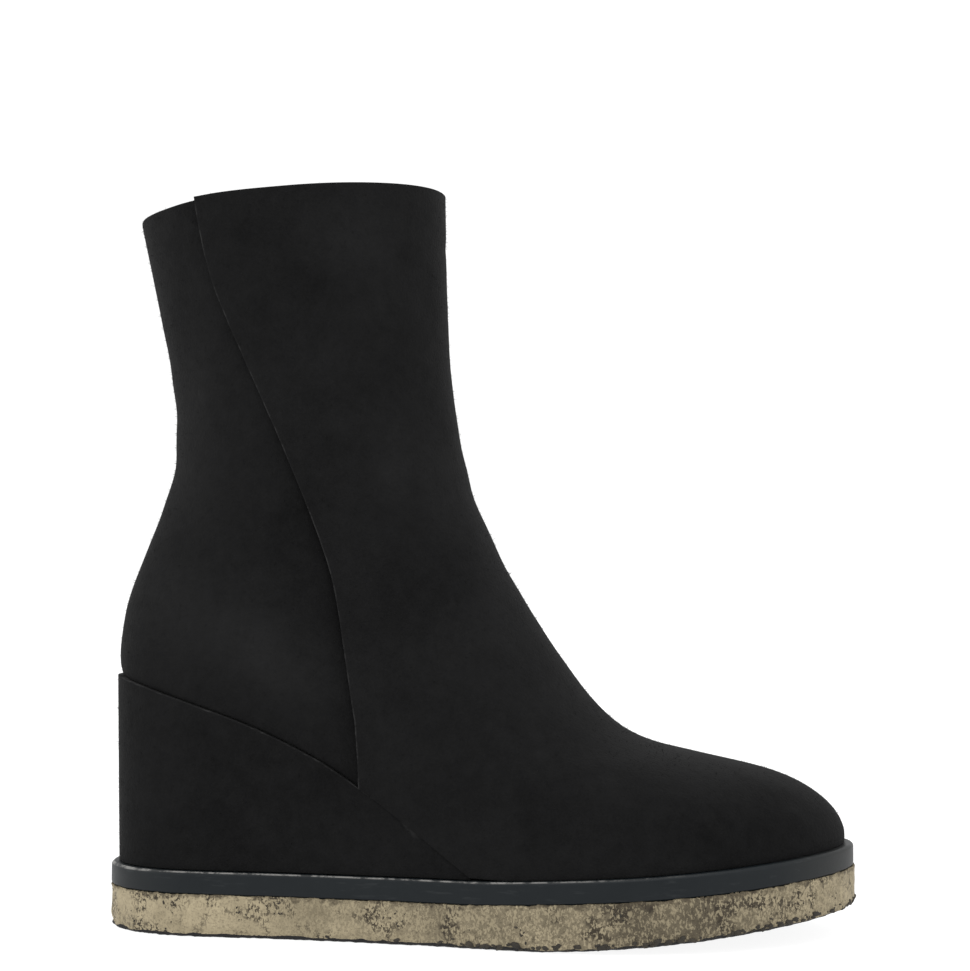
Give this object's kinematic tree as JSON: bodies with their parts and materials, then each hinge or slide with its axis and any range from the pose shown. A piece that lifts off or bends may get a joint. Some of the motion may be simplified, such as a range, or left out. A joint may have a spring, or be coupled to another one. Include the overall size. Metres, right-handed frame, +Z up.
{
  "type": "wedge ankle boot",
  "caption": "Hollow pull-on ankle boot in black suede, with a front overlay panel, a covered wedge heel, a slate rand and a thick natural crepe sole.",
  "frame": {"origin": "on the floor, under the middle of the boot's box", "axes": "+X to the toe, +Y to the inner side of the foot, +Z up; the sole stands on z = 0"},
  "size_m": [0.258, 0.0918, 0.2543],
  "materials": {
    "crepe": "natural crepe rubber with dark crumbs, matte",
    "rand": "slate coated leather, satin",
    "suede": "black suede with a soft nap, matte",
    "lining": "smooth dark leather, low sheen"
  },
  "bodies": {
    "root": {"outsole": "crepe", "midsole": "rand", "wedge": "suede", "insole": "lining", "upper": "suede", "front_panel": "suede"}
  },
  "joints": []
}
